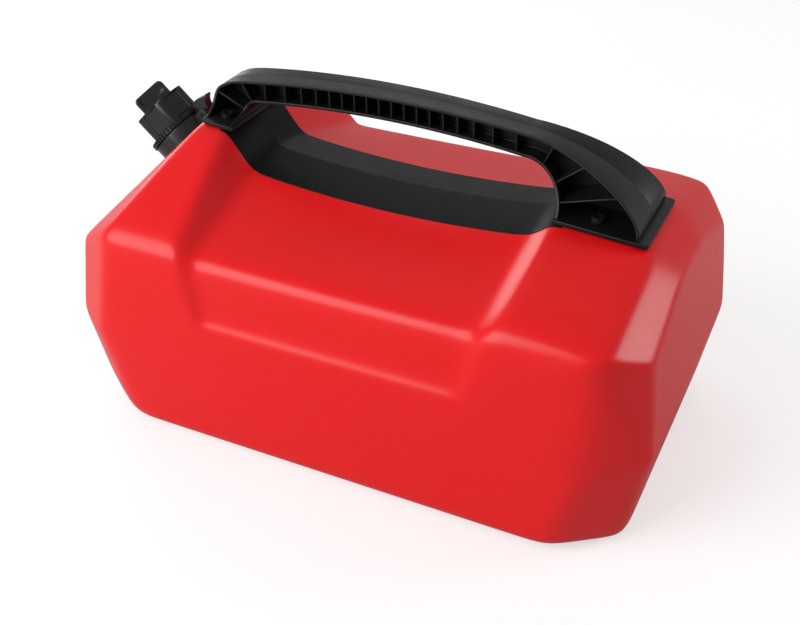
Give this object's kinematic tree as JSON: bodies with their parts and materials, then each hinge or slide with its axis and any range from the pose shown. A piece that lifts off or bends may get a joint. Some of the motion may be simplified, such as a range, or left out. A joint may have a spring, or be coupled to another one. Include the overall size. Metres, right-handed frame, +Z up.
{
  "type": "fuel caddy",
  "caption": "Low, wide fuel can with a slanted filler neck, screw cap with vent knob and lock lever, and a ribbed carry handle over a lined hand recess.",
  "frame": {"origin": "middle of the footprint, on the floor under the feet", "axes": "+X along the tank away from the filler neck, -Y to the front, +Z up"},
  "size_m": [0.4398, 0.2548, 0.2469],
  "materials": {
    "tank_red": "satin",
    "handle_black": "satin",
    "closure_black": "satin",
    "seal_rubber": "matt",
    "steel": "plated",
    "brass": "plain"
  },
  "bodies": {
    "tank": {"tank": "tank_red", "saddle_liner": "handle_black", "handle": "handle_black", "handle_screws": "steel", "handle_inserts": "brass", "neck_seal": "seal_rubber", "filler_neck": "closure_black", "spout": "closure_black", "flame_screen": "steel", "lever_pin": "steel", "foot_front_left": "seal_rubber", "foot_front_right": "seal_rubber", "foot_back_left": "seal_rubber", "foot_back_right": "seal_rubber"},
    "cap_seal": {"cap_gasket": "seal_rubber"},
    "cap": {"cap": "closure_black"},
    "vent": {"vent_knob": "closure_black", "vent_seal": "seal_rubber", "vent_clip": "steel"},
    "lever": {"lock_lever": "closure_black"}
  },
  "joints": [
    {"name": "cap_lift", "type": "slide", "parent": "tank", "child": "cap_seal", "axis": [-0.7339, 0, 0.6793], "range_m": [0, 0.01599]},
    {"name": "cap_turn", "type": "hinge", "parent": "cap_seal", "child": "cap", "pos_m": [-0.17263, 0, 0.17667], "axis": [-0.7339, 0, 0.6793], "range_deg": [0, 1440]},
    {"name": "vent_turn", "type": "hinge", "parent": "cap", "child": "vent", "pos_m": [-0.20014, 0, 0.20215], "axis": [-0.7339, 0, 0.6793], "range_deg": [0, 90]},
    {"name": "lever_press", "type": "hinge", "parent": "tank", "child": "lever", "pos_m": [-0.15637, 0, 0.20455], "axis": [0, 1, 0], "range_deg": [0, 12], "stiffness_Nm_per_rad": 0.4}
  ],
  "couplings": [
    {"joint": "cap_turn", "follows": "cap_lift", "rad_per_m": 1570.8}
  ]
}
